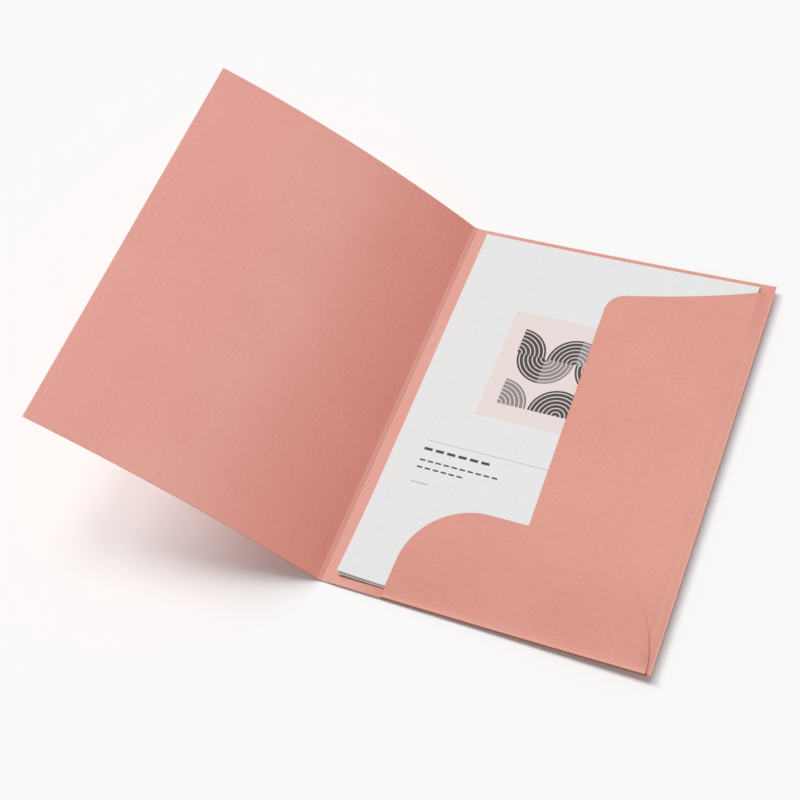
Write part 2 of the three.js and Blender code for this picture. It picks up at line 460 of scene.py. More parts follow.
def paper_finish(name, printed=None):
    """White paper. What is printed on it is a rule that changes its colour."""
    paper = Finish(name)
    place = paper.place()
    cloud = paper.noise(place, PAPER_CLOUD_SCALE, detail=3.0, roughness=0.6)
    grain = paper.noise(place, PAPER_GRAIN_SCALE)
    colour = paper.blend(paper.remap(cloud, *TONE_SPREAD), PAPER_SHADE, PAPER_WHITE)
    colour = paper.blend(paper.mark("cut_edge"), colour, PAPER_CUT)
    if printed:
        colour = printed(paper, colour)
    roughness = paper.remap(grain, *GRAIN_SPREAD, *PAPER_ROUGHNESS)
    return paper.surface(colour, roughness, PAPER_SPECULAR, Normal=paper.bump(grain, *PAPER_BUMP))


def glue_finish():
    glue = Finish("dry_glue")
    ripples = glue.noise(glue.place(), GLUE_RIPPLE_SCALE, detail=3.0)
    colour = glue.blend(ripples, GLUE_AMBER, PAPER_CUT)
    return glue.surface(colour, GLUE_ROUGHNESS, GLUE_SPECULAR, Normal=glue.bump(ripples, *GLUE_BUMP))


white_paper = paper_finish("white_paper")
dry_glue = glue_finish()
print("paper and glue finishes:", white_paper.name, dry_glue.name)

# %% [markdown]
# ## The print on the top sheet
#
# A print has no thickness, so it is drawn in the material. Each shape is a mask, with the value one
# inside the shape and zero outside: a pink block of quarter discs, three rows of bars in place of
# words, a hairline and a dash. Places are in millimetres from the sheet's lower left corner.

# %% Printed finish
INK = "#4B4848"
INK_SOFT = "#8C8785"
BLOCK_PINK = "#E6D9D7"
BLOCK = (46.5, 138.0, 143.5, 235.5)
MOTIF = (58.5, 124.5, 156.5, 222.5)
TILE = 22.0
TILE_RINGS = 7.0
TILE_LINE = 0.24
DISC_RADIUS = 0.96
BAR_ROWS = [(22.0, 73.0, 106.2, 108.4, 8.6, 0.72), (22.0, 81.5, 97.4, 98.7, 6.0, 0.7),
            (22.0, 57.5, 91.6, 92.9, 6.0, 0.7)]
HAIRLINE = (22.0, 112.0, 114.0, 114.3)
DASH = (22.0, 35.0, 80.0, 80.5)


class Print:
    """Masks for flat shapes, given by their left, right, low and high sides."""

    def __init__(self, finish, corner):
        split = finish.split(finish.place())
        self.x = split["X"] / MM - corner[0]
        self.y = split["Y"] / MM - corner[1]

    def box(self, left, right, low, high):
        return (self.x > left) * (self.x < right) * ((self.y > low) * (self.y < high))

    def bars(self, left, right, low, high, pitch, share):
        """A row of short bars, each filling a share of its pitch."""
        filled = ((self.x - left) / pitch).maths("FRACT") < share
        return self.box(left, right, low, high) * filled

    def quarter_discs(self, left, right, low, high):
        """Tiles with ringed quarter discs: a mask for dark tiles, and one for every third, pale."""
        across = (self.x - left) / TILE
        up = (self.y - low) / TILE
        column = across.maths("FLOOR")
        row = up.maths("FLOOR")
        from_side = (across.maths("FRACT") - (column + row) % 2.0).maths("ABSOLUTE")
        from_end = (up.maths("FRACT") - row % 2.0).maths("ABSOLUTE")
        radius = (from_side ** 2.0 + from_end ** 2.0).maths("SQRT")
        ring = (radius * TILE_RINGS).maths("FRACT") > TILE_LINE
        ringed = self.box(left, right, low, high) * ((radius < DISC_RADIUS) * ring)
        pale = (column * 2.0 + row) % 3.0 < 0.5
        return ringed * (1.0 - pale), ringed * pale


def printed_layout(paper, colour):
    masks = Print(paper, top_low)
    dark_tiles, pale_tiles = masks.quarter_discs(*MOTIF)
    shapes = [(masks.box(*BLOCK), BLOCK_PINK), (dark_tiles, INK), (pale_tiles, INK_SOFT)]
    shapes += [(masks.bars(*row), INK) for row in BAR_ROWS]
    shapes += [(masks.box(*line), INK_SOFT) for line in (HAIRLINE, DASH)]
    for mask, ink in shapes:
        colour = paper.blend(mask, colour, ink)
    return colour


printed_paper = paper_finish("printed_paper", printed_layout)
print("printed block in mm from the sheet's corner:", BLOCK)

# %% [markdown]
# ## Patches of card
#
# Every piece starts as a flat patch with four sides, given as rows of points. These helpers make
# rows with even steps, fill the space between four sides with a grid, and move an outline inwards.

# %% Grid helpers
NEARLY_STRAIGHT = 0.05


def shares_along(points):
    """How far along a row each point lies, from 0 to 1."""
    steps = np.linalg.norm(np.diff(points, axis=0), axis=1)
    return np.append(0.0, np.cumsum(steps)) / steps.sum()


def even_row(points, count):
    """The same line with count equal steps."""
    points = np.asarray(points, float)
    wanted = np.linspace(0, 1, count + 1)
    return np.stack([np.interp(wanted, shares_along(points), values) for values in points.T], axis=1)


def fill_grid(bottom, right, top, left):
    u = (shares_along(bottom) + shares_along(top))[:, None, None] / 2
    v = (shares_along(left) + shares_along(right))[None, :, None] / 2
    across = (1 - v) * bottom[:, None] + v * top[:, None]
    along = (1 - u) * left[None] + u * right[None]
    corners = ((1 - u) * (1 - v) * bottom[0] + u * (1 - v) * bottom[-1]
               + (1 - u) * v * top[0] + u * v * top[-1])
    return across + along - corners


def inset_loop(points, insets):
    """Moves each edge of a closed, anticlockwise loop inwards by its own inset."""
    edge = np.roll(points, -1, axis=0) - points
    edge = edge / np.linalg.norm(edge, axis=1)[:, None]
    inward = np.stack([-edge[:, 1], edge[:, 0]], axis=1)
    pairs = zip(np.roll(inward, 1, axis=0), inward, np.roll(insets, 1), insets)
    moved = points.copy()
    for index, (first, second, first_inset, second_inset) in enumerate(pairs):
        if abs(first[0] * second[1] - first[1] * second[0]) < NEARLY_STRAIGHT:
            middle = (first + second) / np.linalg.norm(first + second)
            moved[index] += middle * max(first_inset, second_inset)
        else:
            moved[index] += np.linalg.solve(np.stack([first, second]), [first_inset, second_inset])
    return moved


print("even steps on a line 4 mm long:", even_row([(0, 0), (4, 0)], 2)[:, 0])

# %% [markdown]
# The patch then gets a front, a back and a rim. A cut side has a softly rounded rim, with a
# supporting loop beside it. A side where the card goes on into the next piece is a seam: it stays
# square and sharp, so that no joint shows. At last a folding rule puts each flat point in place.

# %% Pieces of card
RIM_ROUND = 0.08
RIM_EDGE = 0.8
CUT_SUPPORT = 0.3
SEAM_SUPPORT = 0.02
SIDES = ("bottom", "right", "top", "left")


def nowhere(distance, across):
    return 0.0 * distance


def sharpen_seams(mesh, loops, is_seam):
    """Keeps the square end of a seam from bending the shading of the faces beside it."""
    seams = np.flatnonzero(is_seam)
    ends = (seams, (seams + 1) % len(is_seam))
    pairs = [(loop[ends[0]], loop[ends[1]]) for loop in (loops[0], loops[-1])]
    pairs += [(upper[end], lower[end]) for upper, lower in zip(loops, loops[1:]) for end in ends]
    sharp = {frozenset(pair) for starts, stops in pairs for pair in zip(starts.tolist(), stops.tolist())}
    flags = [frozenset(edge.vertices) in sharp for edge in mesh.edges]
    mesh.attributes.new("sharp_edge", "BOOLEAN", "EDGE").data.foreach_set("value", flags)


def card_piece(name, sides, place, thickness, finish, seams=(), round_by=RIM_ROUND, crease=nowhere,
               soil=nowhere, glued=nowhere):
    """A closed piece of card from four sides in the flat, put in place by a folding rule."""
    bottom, right, top, left = (np.asarray(side, float) for side in sides)
    columns, rows = len(bottom) - 1, len(left) - 1
    counts = (columns, rows, columns, rows)
    loop = np.concatenate([bottom[:-1], right[:-1], top[:0:-1], left[:0:-1]])
    is_seam = np.repeat([side in seams for side in SIDES], counts)
    rounded = inset_loop(loop, np.where(is_seam, 0.0, round_by))
    support = inset_loop(loop, np.where(is_seam, SEAM_SUPPORT, CUT_SUPPORT))

    closed = np.concatenate([support, support[:1]])
    ends = np.cumsum((0,) + counts)
    bottom, right, top, left = (closed[start:end + 1] for start, end in zip(ends, ends[1:]))
    grid = fill_grid(bottom, right, top[::-1], left[::-1]).reshape(-1, 2)
    half = thickness / 2
    points, heights, edges = zip(
        (grid, half, 0.0), (rounded, half, RIM_EDGE), (loop, half - round_by, 1.0),
        (loop, round_by - half, 1.0), (rounded, -half, RIM_EDGE), (grid, -half, 0.0))
    sizes = [len(layer) for layer in points]
    starts = np.cumsum([0] + sizes)
    distance, across = np.concatenate(points).T
    edge = np.repeat(edges, sizes)
    beside_cut = ~is_seam | ~np.roll(is_seam, 1)
    edge[starts[1]:starts[5]] *= np.tile(beside_cut, 4)

    number = np.arange(sizes[0]).reshape(columns + 1, rows + 1)
    corners = [number[:-1, :-1], number[1:, :-1], number[1:, 1:], number[:-1, 1:]]
    quads = np.stack(corners, axis=-1).reshape(-1, 4)
    rim = np.concatenate([number[:-1, 0], number[-1, :-1], number[:0:-1, -1], number[0, :0:-1]])
    loops = [rim] + [start + np.arange(len(loop)) for start in starts[1:5]] + [starts[5] + rim]
    faces = [quads, quads[:, ::-1] + starts[5]]
    for upper, lower in zip(loops, loops[1:]):
        faces.append(np.stack([lower, np.roll(lower, -1), np.roll(upper, -1), upper], axis=1))

    mesh = bpy.data.meshes.new(name)
    placed = place(distance, across, np.repeat(heights, sizes))
    mesh.from_pydata(placed * MM, [], np.concatenate(faces).tolist())
    mesh.polygons.foreach_set("use_smooth", [True] * len(mesh.polygons))
    # The third mark holds painted shade, on the wall of the bottom fold.
    marks = {"cut_edge": edge * (1.0 - glued(distance, across)), "crease": crease(distance, across),
             "painted_wall_shade": soil(distance, across)}
    for mark, values in marks.items():
        mesh.attributes.new(mark, "FLOAT", "POINT").data.foreach_set("value", values.astype(np.float32))
    sharpen_seams(mesh, loops[1:5], is_seam)
    mesh.materials.append(finish)
    print(f"{name}: {len(mesh.polygons)} faces")
    return show(name, mesh)


# %% [markdown]
# ## Folding rules
#
# A fold is easiest to think of in cross-section: the card's middle line runs straight, bends with a
# small radius, and runs straight again. FoldPath keeps such a line, and tells where a point some
# way along the flat card ends up. The line starts outward, and the fold runs sideways.

# %% Fold path
BEND_STEP = math.radians(9)
LONGEST_STEP = 5.0
STOP_GAP = 0.04
NO_TURN = 1e-9
UPWARD = np.array((0.0, 0.0, 1.0))


class FoldPath:
    def __init__(self, outward, sideways, along, up):
        self.outward, self.sideways = np.array(outward), np.array(sideways)
        self.parts = []
        self.stops = [0.0]
        self.length, self.along, self.up, self.heading = 0.0, along, up, 0.0

    def run(self, length):
        self.add_part(length, 0.0, max(1, math.ceil(length / LONGEST_STEP)))

    def bend(self, radius, angle):
        """Turns by an angle in radians, upwards if it is positive."""
        length = radius * abs(angle)
        steps = max(math.ceil(abs(angle) / BEND_STEP), math.ceil(length / LONGEST_STEP))
        self.add_part(length, angle / length, steps)

    def add_part(self, length, turn, steps):
        self.parts.append((self.length, self.along, self.up, self.heading, turn))
        self.stops += [self.length + length * step / steps for step in range(1, steps + 1)]
        self.length += length
        self.along, self.up, self.heading = (float(value) for value in self.at(self.length))

    def at(self, distance):
        """Where the line is, and its heading, at a distance from its start."""
        parts = np.array(self.parts)
        distance = np.asarray(distance, float)
        part = np.clip(np.searchsorted(parts[:, 0], distance, side="right") - 1, 0, len(parts) - 1)
        start, along, up, heading, turn = parts[part].T
        gone = distance - start
        bent = heading + turn * gone
        straight = np.abs(turn) < NO_TURN
        safe = np.where(straight, 1.0, turn)
        out = np.where(straight, np.cos(heading) * gone, (np.sin(bent) - np.sin(heading)) / safe)
        rise = np.where(straight, np.sin(heading) * gone, (np.cos(heading) - np.cos(bent)) / safe)
        return along + out, up + rise, bent

    def folded(self, distance, across, height):
        """The folding rule. Beyond the end of the line the card goes on straight."""
        along, up, heading = self.at(distance)
        along = along - np.sin(heading) * height
        up = up + np.cos(heading) * height
        return np.outer(along, self.outward) + np.outer(across, self.sideways) + np.outer(up, UPWARD)

    def clear_stops(self):
        """The stops, without those that come too close to an end."""
        inner = [stop for stop in self.stops if STOP_GAP < stop < self.length - STOP_GAP]
        return np.array([0.0] + inner + [self.length])

    def flap_sides(self, sides, counts):
        """Moves the sides of a flap beyond the line from the table back to the flat blank."""
        flat = []
        for side, count in zip(sides, counts * 2):
            points = np.asarray(side, float)
            distance = self.length + self.along - points @ self.outward[:2]
            flat.append(even_row(np.stack([distance, points @ self.sideways[:2]], axis=1), count))
        return flat


def strip_sides(stops, low, high, step=LONGEST_STEP):
    """The four sides of a strip with given stops along the line, from low to high across it."""
    low_row, high_row = (np.array([(stop, end(stop) if callable(end) else end) for stop in stops])
                         for end in (low, high))
    count = max(2, math.ceil((high_row[:, 1] - low_row[:, 1]).max() / step))
    left, right = (even_row([low_row[end], high_row[end]], count) for end in (0, -1))
    return low_row, right, high_row, left


def rectangle_sides(left, right, low, high, step=LONGEST_STEP):
    return strip_sides(np.linspace(left, right, math.ceil((right - left) / step) + 1), low, high, step)


print("a bend is divided into steps of", round(math.degrees(BEND_STEP)), "degrees")

# %% [markdown]
# ## How the layers lie
#
# A filled folder doesn't lie dead flat: towards its right-hand fold the back cover curls off the
# table, and sheets and flaps rise with it. This rule depends on X alone, so that the sheets can
# still slide out along Y. Only the edge at the foot, which no sheet reaches, has a curl of its own.
# The sheets' free corner, at the foot of the spine, stands up and lifts the end of the bottom flap.

# %% Settling
EDGE_LIFT = 5.5
EDGE_LIFT_FROM = SPINE + 5.0
FOOT_CURL = 1.5
FOOT_CURL_REACH = 8.0
FOOT_CURL_FROM = SPINE + 1.0
FOOT_CURL_RUN = 9.0
CORNER_LIFT_TOP = 4.0
CORNER_LIFT_STACK = 3.3
CORNER_LIFT_LEAST = 0.75
CORNER_REACH_X = 90.0
CORNER_REACH_Y = 80.0
CORNER_CURL = 2.0


def part_way(value, start, end):
    """How far a value has come from start to end, from 0 to 1."""
    return np.clip((value - start) / (end - start), 0, 1)


def smooth(share):
    return share ** 2 * (3 - 2 * share)


def settle(x):
    """How far the layers lie above their flat place."""
    return EDGE_LIFT * part_way(x, EDGE_LIFT_FROM, RIGHT) ** 2


def foot_curl(x, y):
    near_edge = part_way(y, FOOT + FOOT_CURL_REACH, FOOT)
    return FOOT_CURL * near_edge ** 2 * smooth(part_way(x, FOOT_CURL_FROM, FOOT_CURL_FROM + FOOT_CURL_RUN))


def corner_rise(x, y):
    """How far the sheets have risen towards their free corner, from 0 to 1."""
    free_x = part_way(x, sheet_low[0] + CORNER_REACH_X, sheet_low[0])
    free_y = part_way(y, sheet_low[1] + CORNER_REACH_Y, sheet_low[1])
    return (free_x * free_y) ** CORNER_CURL


def raised(place, rise):
    """A folding rule whose result is moved up by a second rule."""
    def rule(distance, across, height):
        points = place(distance, across, height)
        points[:, 2] += rise(distance, across, points)
        return points

    return rule


def settled(place):
    return raised(place, lambda distance, across, points: settle(points[:, 0]) + foot_curl(*points.T[:2]))


print(f"the right-hand fold lies {settle(RIGHT):.1f} mm above its flat place")

# %% [markdown]
# ## The back cover
#
# The back cover is the plainest patch: a flat rectangle between two seams, one at the back crease
# and one at the right-hand fold.

# %% Back cover
CREASE_REACH = panel_low[0] - SPINE
FOLD_REACH = 1.2


def flat_card(middle):
    """The rule for a flat layer: it only puts the card at its height."""
    return settled(lambda x, y, height: np.stack([x, y, middle + height], axis=1))


back_cover_card = card_piece(
    "back_cover_card", rectangle_sides(SPINE + CREASE_REACH, RIGHT - FOLD_REACH, FOOT, HEAD),
    flat_card(CARD_MIDDLE), CARD, card_paper, seams=("left", "right"))
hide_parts("back_cover")
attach(back_cover_card, "back_cover")

# %% [markdown]
# ## The side flap
#
# At the right the card turns back on itself. Its two layers are pressed together at the fold, then
# the upper one climbs over the edge of the sheets in a soft S, and lies flat on them. The outline
# of the flap has a long top edge that bends slightly, and a rounded corner.

# %% Side fold path and outline
PINCH_GAP = 0.05
PINCH_WIDTH = 1.2
CLIMB_RADIUS = 5.0
CLIMB_ANGLE = math.radians(16)
FLAP_SEAM_RUN = 0.8
TURN_RADIUS = (CARD + PINCH_GAP) / 2

climb = (side_low[2] + side_high[2]) / 2 - CARD_MIDDLE - 2 * TURN_RADIUS
soft_part = 2 * CLIMB_RADIUS * (1 - math.cos(CLIMB_ANGLE))
side_path = FoldPath((1, 0, 0), (0, 1, 0), RIGHT - FOLD_REACH, CARD_MIDDLE)
side_path.run(FOLD_REACH - TURN_RADIUS - CARD / 2)
side_path.bend(TURN_RADIUS, math.pi)
side_path.run(PINCH_WIDTH)
side_path.bend(CLIMB_RADIUS, -CLIMB_ANGLE)
side_path.run((climb - soft_part) / math.sin(CLIMB_ANGLE))
side_path.bend(CLIMB_RADIUS, CLIMB_ANGLE)
side_path.run(FLAP_SEAM_RUN)
FLAP_SEAM_X = side_path.along
print(f"the side flap is flat from x = {FLAP_SEAM_X:.2f} mm at z = {side_path.up:.2f} mm")

SIDE_FOOT_WIDTH = 106.0
SIDE_HEAD_WIDTH = 114.0
SIDE_TOP_MARGIN = 5.4
SIDE_SHOULDER_DROP = 31.0
SIDE_CORNER = 14.0
SIDE_TOP_SLOPE = 0.2
SIDE_TOP_BEND_AT = 72.0
SIDE_TOP_POINTS = 60
SIDE_CORNER_POINTS = 24
SIDE_FOOT = side_low[1]
FOLD_FOOT = FOOT + 0.5


def curve(start, control, end, count):
    """A smooth curve with one control point."""
    t = np.linspace(0, 1, count + 1)[:, None]
    return (1 - t) ** 2 * start + 2 * t * (1 - t) * control + t ** 2 * end


inner_foot = np.array([RIGHT - SIDE_FOOT_WIDTH, SIDE_FOOT])
fold_top = np.array([RIGHT, HEAD - SIDE_TOP_MARGIN])
corner = np.array([RIGHT - SIDE_HEAD_WIDTH, fold_top[1] - SIDE_SHOULDER_DROP])
slope = np.array([1.0, SIDE_TOP_SLOPE]) / math.hypot(1.0, SIDE_TOP_SLOPE)
inner = (inner_foot - corner) / np.linalg.norm(inner_foot - corner)
corner_start = corner + slope * SIDE_CORNER
top_edge = curve(fold_top, corner + slope * SIDE_TOP_BEND_AT, corner_start, SIDE_TOP_POINTS)
rounding = curve(corner_start, corner, corner + inner * SIDE_CORNER, SIDE_CORNER_POINTS)

# %% [markdown]
# The fold is one strip. Where it leaves the back cover it runs the full height, and from its turn on it
# ends where the flap's outline does. Its turn is marked as a paler crease, and its slope gets painted light
# below the top, which lifts the shade there. At its open top end there are no sheets to climb over, so it
# sinks a little.

# %% Side fold
FLAT_RUN = side_path.stops[1]
NOTCH = 0.02
SAG = 0.8
SAG_REACH = 30.0
SAG_START = FLAT_RUN + math.pi * TURN_RADIUS
SIDE_TURN_AT = FOLD_REACH - CARD / 2
SIDE_TURN_WIDTH = 0.6
# Painted light on the side fold's slope, fading out towards the top.
SLOPE_PAINTED_LIGHT_SHARE = 0.3
SLOPE_PAINTED_LIGHT_STARTS = 0.7


def side_fold_end(distance, whole, outline_x, outline_y):
    """Where the strip ends: at the cover's edge before the notch, at the flap's outline after it."""
    if distance < FLAT_RUN + NOTCH / 2:
        return whole
    x = side_path.at(distance)[0] if distance > FOLD_REACH else RIGHT
    return float(np.interp(x, outline_x, outline_y))


def side_fold_top(distance):
    return side_fold_end(distance, HEAD, top_edge[::-1, 0], top_edge[::-1, 1])


def side_fold_foot(distance):
    return side_fold_end(distance, FOOT, [side_high[0], RIGHT], [SIDE_FOOT, FOLD_FOOT])


def on_slope(distance):
    return np.sin(math.pi * part_way(distance, SAG_START, side_path.length)) ** 2


def top_sag(distance, across, points):
    return -SAG * on_slope(distance) * part_way(across, side_high[1] - SAG_REACH, side_high[1]) ** 2


# Paler crease at the turn, and painted light on the slope below the top.
def side_fold_crease_and_light(distance, across):
    turn = np.exp(-((distance - SIDE_TURN_AT) / SIDE_TURN_WIDTH) ** 2)
    below_top = np.clip((side_high[1] - across) / SAG_REACH - SLOPE_PAINTED_LIGHT_STARTS, 0, 1)
    return np.maximum(turn, SLOPE_PAINTED_LIGHT_SHARE * on_slope(distance) * below_top)


side_stops = np.sort(np.append(side_path.clear_stops(), FLAT_RUN + NOTCH))
side_fold_card = card_piece(
    "side_fold_card", strip_sides(side_stops, side_fold_foot, side_fold_top),
    settled(raised(side_path.folded, top_sag)), CARD, creased_card, seams=("left", "right"),
    crease=side_fold_crease_and_light)
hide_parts("side_fold")
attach(side_fold_card, "back_cover")

# %% [markdown]
# The flap is one flat patch beyond its fold. A patch has four sides, so the rounded corner is
# divided in its middle between the top and the inner side.

# %% Side flap
SIDE_GRID = (60, 110)

middle = len(rounding) // 2
seam_top, seam_foot = ((FLAP_SEAM_X, end(side_path.length)) for end in (side_fold_top, side_fold_foot))
beyond_seam = top_edge[top_edge[:, 0] < FLAP_SEAM_X]
side_flap_sides = side_path.flap_sides(
    ([seam_foot, inner_foot], np.concatenate([[inner_foot], rounding[middle:][::-1]]),
     np.concatenate([[seam_top], beyond_seam, rounding[1:middle + 1]]), [seam_foot, seam_top]), SIDE_GRID)
side_flap_card = card_piece("side_flap_card", side_flap_sides, settled(side_path.folded), CARD, card_paper,
                            seams=("left",))
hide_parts("side_flap")
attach(side_flap_card, "back_cover")

# %% [markdown]
# ## The bottom flap
#
# The bottom fold is a narrow wall that lifts the bottom flap over the sheets and the side flap. In
# front of the sheets nothing holds the flap up, so it slopes down to its pressed fold. Its right
# end bends down too, past the edge of the sheets, and their free corner lifts its left end. All
# this is one rule that bends the folded card.

# %% Bottom fold
FIRST_CREASE_RADIUS = 0.3
SECOND_CREASE_RADIUS = 0.6
FOLD_STEP = 2.0
WALL_LEAN = 0.35
FLAP_MIDDLE = (flap_low[2] + flap_high[2]) / 2

climb = FLAP_MIDDLE - CARD_MIDDLE
wall_angle = math.atan2(climb, -WALL_LEAN)
first_cut = FIRST_CREASE_RADIUS * math.tan(wall_angle / 2)
second_cut = SECOND_CREASE_RADIUS * math.tan((math.pi - wall_angle) / 2)
bottom_path = FoldPath((0, -1, 0), (1, 0, 0), -FOOT - CARD / 2 - FOLD_REACH, CARD_MIDDLE)
bottom_path.run(FOLD_REACH - first_cut)
bottom_path.bend(FIRST_CREASE_RADIUS, wall_angle)
bottom_path.run(math.hypot(WALL_LEAN, climb) - first_cut - second_cut)
bottom_path.bend(SECOND_CREASE_RADIUS, math.pi - wall_angle)
bottom_path.run(FLAP_SEAM_RUN)
FLAP_SEAM_Y = -bottom_path.along
print(f"the bottom flap is flat from y = {FLAP_SEAM_Y:.2f} mm at z = {bottom_path.up:.2f} mm")

BOTTOM_LEFT, BOTTOM_RIGHT, BOTTOM_TOP = flap_low[0], flap_high[0], flap_high[1]
WALL_START, WALL_END = bottom_path.stops[1], bottom_path.length - FLAP_SEAM_RUN
WALL_TOP = WALL_END - SECOND_CREASE_RADIUS / 2
FOLD_PALENESS_AND_LIGHT = 0.5
FOLD_PALENESS_REACH = 2.2
DROOP = 1.1
DROOP_FROM = side_high[0] + 0.5
PRESS = 1.3
PRESS_FROM = FOOT + 6.4
DROP_CURL = 1.4
RISE_RUN = 8.0
GAP_TO_SHEETS = flap_low[2] - top_high[2] - 0.1


def shade_on_wall(distance, across):
    """Painted shade on the wall of the bottom fold, which makes it darker than the rest."""
    after_crease = part_way(distance, WALL_START, WALL_START + FIRST_CREASE_RADIUS)
    return after_crease * part_way(distance, WALL_TOP, WALL_TOP - SECOND_CREASE_RADIUS)


# A paler band along the bottom fold, partly crease whitening and partly painted light.
def bottom_fold_crease_and_light(distance, across):
    return FOLD_PALENESS_AND_LIGHT * np.exp(-np.abs(distance - WALL_END) / FOLD_PALENESS_REACH)


def rest_on_pocket(distance, across, points):
    """Down at the flap's right end and along its fold, and up on the sheets' free corner."""
    x, y, z = points.T
    droop = DROOP * part_way(x, DROOP_FROM, BOTTOM_RIGHT) ** DROP_CURL
    press = PRESS * part_way(y, PRESS_FROM, FOOT) ** DROP_CURL
    sheets = CORNER_LIFT_TOP * corner_rise(x, y)
    rise = sheets ** 2 / (sheets + GAP_TO_SHEETS) * smooth(part_way(y, FOOT, FOOT + RISE_RUN))
    return (rise - np.maximum(droop, press)) * part_way(z, CARD, FLAP_MIDDLE)


rested_fold = settled(raised(bottom_path.folded, rest_on_pocket))
bottom_fold_card = card_piece(
    "bottom_fold_card", strip_sides(bottom_path.clear_stops(), BOTTOM_LEFT, BOTTOM_RIGHT, FOLD_STEP),
    rested_fold, CARD, creased_card, seams=("right",), crease=bottom_fold_crease_and_light, soil=shade_on_wall)
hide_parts("bottom_fold")
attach(bottom_fold_card, "back_cover")

# %% [markdown]
# The flap's left end is a quarter circle. Its right end is part of a larger circle, which meets the fold at
# a slight angle. The patch is divided in the middle of each, so that its quads stay close to square. Where
# the flap is glued to the side flap, most of the painted shade on its cut edge is left out.

# %% Bottom flap
BOTTOM_START_RADIUS = 50.0
BOTTOM_END_RADIUS = 82.0
BOTTOM_END_DROP = 76.0
START_ARC_POINTS = 30
END_ARC_POINTS = 40
BOTTOM_GRID = (60, 90)
GLUED_EDGE_UNSHADED = 0.9


def arc(centre, radius, start, end, count):
    angles = np.radians(np.linspace(start, end, count + 1))
    return np.array(centre) + radius * np.stack([np.cos(angles), np.sin(angles)], axis=1)


# Where the flap is glued, most of the painted shade on its cut edge is left out.
def glued_edge(distance, across):
    return np.where(across < RIGHT - SIDE_FOOT_WIDTH, 0.0, GLUED_EDGE_UNSHADED)


end_angle = math.asin(1 - BOTTOM_END_DROP / BOTTOM_END_RADIUS)
end_x = BOTTOM_RIGHT - BOTTOM_END_RADIUS * math.cos(end_angle)
start_circle = (BOTTOM_LEFT + BOTTOM_START_RADIUS, BOTTOM_TOP - BOTTOM_START_RADIUS), BOTTOM_START_RADIUS
end_circle = (end_x, BOTTOM_TOP - BOTTOM_END_RADIUS), BOTTOM_END_RADIUS
seam_left, seam_right = (BOTTOM_LEFT, FLAP_SEAM_Y), (BOTTOM_RIGHT, FLAP_SEAM_Y)
low_left = arc(*start_circle, 180, 135, START_ARC_POINTS)
high_left = arc(*start_circle, 135, 90, START_ARC_POINTS)
high_right = arc(*end_circle, 90, 45, END_ARC_POINTS)
low_right = arc(*end_circle, 45, math.degrees(end_angle), END_ARC_POINTS)[:-1]
bottom_flap_sides = bottom_path.flap_sides(
    (np.concatenate([[seam_left], low_left]), np.concatenate([high_left, high_right]),
     np.concatenate([[seam_right], low_right[::-1]]), [seam_left, seam_right]), BOTTOM_GRID)
bottom_flap_card = card_piece("bottom_flap_card", bottom_flap_sides, rested_fold, CARD, creased_card,
                              seams=("left",), crease=bottom_fold_crease_and_light, glued=glued_edge)
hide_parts("bottom_flap")
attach(bottom_flap_card, "back_cover")

# %% [markdown]
# ## The spine and its creases
#
# A creasing rule presses a groove into the back of the card, which stands up as a bead on the inner face.
# The card hinges on that bead. The two creases and the spine share one fold path, and each crease is its
# own strip; in the real folder a crease bends when the folder closes.

# %% Spine and creases
CREASE_BEND_RADIUS = 0.9
BEAD_HEIGHT = 0.2
BEAD_WIDTH = 0.36
BEAD_STEP = 0.1
COVER_BEND = math.radians(15)


def angle_between(start, end):
    return math.atan2(end[2] - start[2], start[0] - end[0])


spine_angle = angle_between(back_hinge, front_hinge)
spine_width = math.hypot(front_hinge[0] - back_hinge[0], front_hinge[2] - back_hinge[2])
free_edge = np.array([cover_low[0], 0.0, cover_high[2] - CARD / 2])
chord = math.hypot(free_edge[0] - front_hinge[0], free_edge[2] - front_hinge[2])
cover_radius = chord / 2 / math.sin(COVER_BEND / 2)
root_angle = angle_between(front_hinge, free_edge) + COVER_BEND / 2
print(f"spine {spine_width:.2f} mm at {math.degrees(spine_angle):.1f} degrees, "
      f"cover bent to a radius of {cover_radius:.0f} mm from {math.degrees(root_angle):.1f} degrees")

cut_back = CREASE_BEND_RADIUS * math.tan(spine_angle / 2)
cut_front = CREASE_BEND_RADIUS * math.tan((root_angle - spine_angle) / 2)
crease_path = FoldPath((-1, 0, 0), (0, -1, 0), -(SPINE + CREASE_REACH), CARD_MIDDLE)
crease_path.run(CREASE_REACH - cut_back)
crease_path.bend(CREASE_BEND_RADIUS, spine_angle)
crease_path.run(spine_width - cut_back - cut_front)
crease_path.bend(CREASE_BEND_RADIUS, root_angle - spine_angle)
crease_path.run(CREASE_REACH - cut_front)
BEADS_AT = (CREASE_REACH, crease_path.length - CREASE_REACH)


# The bead's profile raises the card; as the crease mark it pales the bead, partly crease whitening and
# partly a painted highlight.
def bead_profile(distance, across):
    return sum(np.exp(-((distance - at) / BEAD_WIDTH) ** 2) for at in BEADS_AT)


def beaded(distance, across, height):
    """The folding rule, with both faces of the card raised along each crease."""
    return crease_path.folded(distance, across, height + BEAD_HEIGHT * bead_profile(distance, across))


def path_point(path, distance, outward):
    along, up, heading = path.at(distance)
    return Vector((np.array(outward) * along + UPWARD * up) * MM)


def crease_strip(name, start, end, finish):
    stops = np.linspace(start, end, math.ceil((end - start) / BEAD_STEP) + 1)
    return card_piece(name, strip_sides(stops, -HEAD, -FOOT), beaded, CARD, finish, seams=("left", "right"),
                      crease=bead_profile)


spine_start, spine_end = 2 * CREASE_REACH, crease_path.length - 2 * CREASE_REACH
back_crease_strip = crease_strip("back_crease_strip", 0.0, spine_start, creased_card)
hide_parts("back_crease")
path_point(crease_path, 0.0, (-1, 0, 0))
path_point(crease_path, spine_start, (-1, 0, 0))
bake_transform(back_crease_strip)

